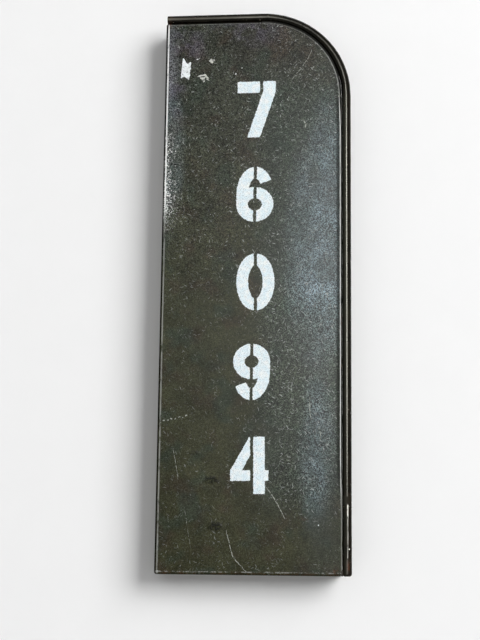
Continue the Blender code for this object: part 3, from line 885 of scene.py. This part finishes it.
def film(bm, outline, height):
    """Adds a thin closed film on the face with the given outline, in metres."""
    front = [bm.verts.new((x, FACE - height, z)) for x, z in outline]
    back = [bm.verts.new((x, FACE - FILM_BACK, z)) for x, z in outline]
    bm.faces.new(front)
    bm.faces.new(back[::-1])
    for index in range(len(front)):
        after = (index + 1) % len(front)
        bm.faces.new((front[index], back[index], back[after], front[after]))


def flecks(bm, outline, chance):
    """Adds small five-cornered flecks of paint beside an outline, in metres."""
    usual, farthest = 0.0008, 0.004
    corners = (0.3, 1.6, 2.8, 4.1, 5.2)
    for _ in range(len(outline) // 4):
        x, z = chance.choice(outline)
        far = min(chance.expovariate(1 / usual), farthest)
        angle = chance.uniform(0, 2 * math.pi)
        x, z = x + far * math.cos(angle), z + far * math.sin(angle)
        size = chance.uniform(0.00008, 0.00024)
        film(bm, [(x + size * math.cos(a), z + size * math.sin(a)) for a in corners], FLECK_FILM)


def stencil_digit(number, digit, across, up, height, tilt, material):
    """One sprayed digit, its edges slightly ragged, with flecks of paint just outside them."""
    scale = height / CELL_HIGH
    turn = Matrix.Rotation(math.radians(tilt), 2)
    chance = random.Random(number)
    bm = bmesh.new()
    for layer, island in enumerate(digit_islands(digit)):
        points = soften(resample(island, spacing=0.5), passes=4)
        points = ragged(points, amount=0.55, size=2.2, seed=number)
        points = ragged(points, amount=0.3, size=0.7, seed=number + 9)
        placed = []
        for point in points:
            at = turn @ (point - Vector(CELL_MIDDLE)) * scale
            placed.append(on_face(across + at.x, up + at.y))
        film(bm, placed, DIGIT_FILM + DIGIT_STEP * layer)
        flecks(bm, placed, chance)
    add_piece(f"stencil_digit_{number}", bm, material)


def splash(bm, outline, seed):
    """A small splash of paint, from points in millimetres on the face, its edge a little rough."""
    points = soften(resample(outline, spacing=0.3), passes=1)
    points = ragged(points, amount=0.3, size=0.9, seed=seed)
    film(bm, [on_face(*point) for point in points], SPLASH_FILM)


def scratch(bm, path, width, seed):
    """A thin ribbon along a path in millimetres on the face, widest in its middle."""
    points = []
    for start, end in zip(path, path[1:]):
        points += between(start, end, spacing=0.8)
    points = ragged(points + [Vector(path[-1])], amount=0.5, size=4.0, seed=seed)
    first, second = [], []
    for index, point in enumerate(points):
        before, after = points[max(index - 1, 0)], points[min(index + 1, len(points) - 1)]
        share = index / (len(points) - 1)
        swell = 0.25 + 0.75 * math.sin(math.pi * share) ** 0.5
        swell *= 1 + 0.5 * noise.noise(Vector((index * 0.7, seed, 5)))
        out = (after - before).orthogonal().normalized() * width * swell / 2
        first.append(point + out)
        second.append(point - out)
    film(bm, [on_face(*point) for point in first + second[::-1]], SCRATCH_FILM)


def face_marks():
    """Splashes of white paint, scraped paint, pale scratches and the dotted scrape on the face."""
    bm = bmesh.new()
    for outline, seed in SPLASHES:
        splash(bm, outline, seed)
    for across, up, wide, seed in DOTS:
        splash(bm, ellipse((across, up), (wide / 2, wide / 2), 0, 342, 19), seed)
    add_piece("paint_splashes", bm, scratch_paint("splash_white", SPLASH_WHITE, 0.42))

    bm = bmesh.new()
    for outline, seed in SCRAPES:
        splash(bm, outline, seed)
    add_piece("scraped_paint", bm, scratch_paint("scraped_white", SCRAPED_WHITE, 0.48))

    bm = bmesh.new()
    for path, width, seed in SCRATCHES:
        scratch(bm, path, width, seed)
    for across, up, long, slope, seed in DASHES:
        slope = math.radians(slope)
        lean = Vector((math.cos(slope), math.sin(slope))) * long / 2
        sag = lean.orthogonal() * DASH_SAG
        middle = Vector((across, up))
        scratch(bm, [middle - lean, middle + sag, middle + lean], DASH_WIDTH, seed)
    add_piece("scratches", bm, scratch_paint("scratched_pale", SCRATCHED_PALE, 0.51))


def dress_sign():
    """Gives every piece its finish and adds what the CAD leaves out."""
    olive, black, primer, bead = panel_paint(), rod_paint(), bar_paint(), bead_paint()
    smoothing = smooth_by_angle()
    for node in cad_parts:
        if "weld" in node:
            weld_bead(node, bead)
        elif "rod" in node:
            dress(node, black, smoothing)
        elif "bar" in node:
            dress(node, primer, smoothing)
        else:
            dress(node, olive, smoothing)
    foot_weld(black)
    white = stencil_paint()
    for number, (digit, across, up, height, tilt) in enumerate(DIGITS, start=1):
        stencil_digit(number, digit, across, up, height, tilt, white)
    face_marks()


# Stage


def area_light(name, place, aim, wide, high, power):
    """A soft box at a place, turned to a point."""
    lamp = bpy.data.lights.new(name, "AREA")
    lamp.shape = "RECTANGLE"
    lamp.size, lamp.size_y = wide, high
    lamp.energy = power
    item = bpy.data.objects.new(name, lamp)
    item.location = place
    item.rotation_euler = (Vector(aim) - Vector(place)).to_track_quat("-Z", "Y").to_euler()
    bpy.context.scene.collection.objects.link(item)
    return item


def wall_paint():
    """Pale wall, which only the camera and reflections see, from its front and near the sign."""
    coat = Coat("pale_wall")
    faint = coat.noise(0.05, 3)
    coat.finish(coat.blend(faint, WALL_GREY, WALL_PALE), 0.9, specular=0.1)
    seen = coat.node("ShaderNodeLightPath")
    direct = coat.math("MAXIMUM", seen.outputs["Is Camera Ray"], seen.outputs["Is Glossy Ray"])
    behind = coat.node("ShaderNodeNewGeometry").outputs["Backfacing"]
    near = coat.step(coat.y, -3.0, -1.2)
    shown = coat.both(direct, coat.minus(1.0, behind), near)
    mixed = coat.node("ShaderNodeMixShader", shown)
    clear = coat.node("ShaderNodeBsdfTransparent")
    coat.tree.links.new(clear.outputs[0], mixed.inputs[1])
    coat.tree.links.new(coat.shader.outputs[0], mixed.inputs[2])
    coat.tree.links.new(mixed.outputs[0], coat.tree.nodes["Material Output"].inputs[0])
    return coat.material


def backdrop():
    """The pale wall that the sign hangs on, sweeping into a floor."""
    wall_top, wall_foot, floor_end = 2.6, -0.6, -3.2
    half_width = 3.0
    sweep, facets = 0.4, 12
    wall = RIM + WALL_GAP
    profile = [(wall, wall_top)]
    for step in range(facets + 1):
        angle = math.pi / 2 * step / facets
        forward = sweep * (1 - math.cos(angle))
        profile.append((wall - forward, wall_foot - sweep * math.sin(angle)))
    profile.append((floor_end, wall_foot - sweep))
    bm = bmesh.new()
    ends = (-half_width, half_width)
    left, right = ([bm.verts.new((x, y, z)) for y, z in profile] for x in ends)
    for index in range(len(profile) - 1):
        bm.faces.new((left[index], left[index + 1], right[index + 1], right[index]))
    mesh = bpy.data.meshes.new("backdrop")
    bm.to_mesh(mesh)
    bm.free()
    mesh.shade_smooth()
    mesh.materials.append(wall_paint())
    item = bpy.data.objects.new("backdrop", mesh)
    bpy.context.scene.collection.objects.link(item)


def sky():
    """Even soft light from all round, which the camera and reflections see as white."""
    world = bpy.data.worlds.new("studio")
    bpy.context.scene.world = world
    world.use_nodes = True
    tree = world.node_tree
    paths = tree.nodes.new("ShaderNodeLightPath")
    seen = paths.outputs["Is Camera Ray"]
    for other in ("Is Glossy Ray", "Is Transmission Ray"):
        either = tree.nodes.new("ShaderNodeMath")
        either.operation = "MAXIMUM"
        tree.links.new(seen, either.inputs[0])
        tree.links.new(paths.outputs[other], either.inputs[1])
        seen = either.outputs[0]
    level = tree.nodes.new("ShaderNodeMapRange")
    tree.links.new(seen, level.inputs["Value"])
    level.inputs["To Min"].default_value = SKY_LIGHT
    level.inputs["To Max"].default_value = SKY_SEEN
    tree.links.new(level.outputs[0], tree.nodes["Background"].inputs["Strength"])
    tree.nodes["Background"].inputs["Color"].default_value = (1, 1, 1, 1)


def camera():
    """The photograph's view: from below and to the right of the sign's middle."""
    data = bpy.data.cameras.new("camera")
    data.lens = 75.94
    data.sensor_width = 36
    item = bpy.data.objects.new("camera", data)
    place = Matrix.Translation((0.12543, -1.42720, -0.46565))
    right = Vector((0.99509, 0.09820, 0.01220))
    up = Vector((0.00570, -0.17996, 0.98366))
    back = Vector((0.09879, -0.97876, -0.17964))
    item.matrix_world = place @ Matrix((right, up, back)).transposed().to_4x4()
    bpy.context.scene.collection.objects.link(item)
    bpy.context.scene.camera = item


def stage():
    """Light, wall and camera. The window only shows in gloss, and the key light never does."""
    centre = Vector((0, 0, -0.17))
    key = centre + Vector((0.695, -0.604, 0.390)) * 8
    area_light("key", key, centre, wide=4.8, high=5.2, power=700).visible_glossy = False
    window = Vector((0.35, -3.0, 0.50))
    window_light = area_light("window", window, (0.35, 0, 0.50), wide=0.8, high=1.2, power=610)
    window_light.visible_diffuse = False
    behind = centre + Vector((-2.8, 3.8, 2.2))
    area_light("back_fill", behind, centre, wide=3.0, high=3.0, power=230)
    backdrop()
    sky()
    camera()
    bpy.context.scene.view_settings.view_transform = "Standard"


dress_sign()
stage()
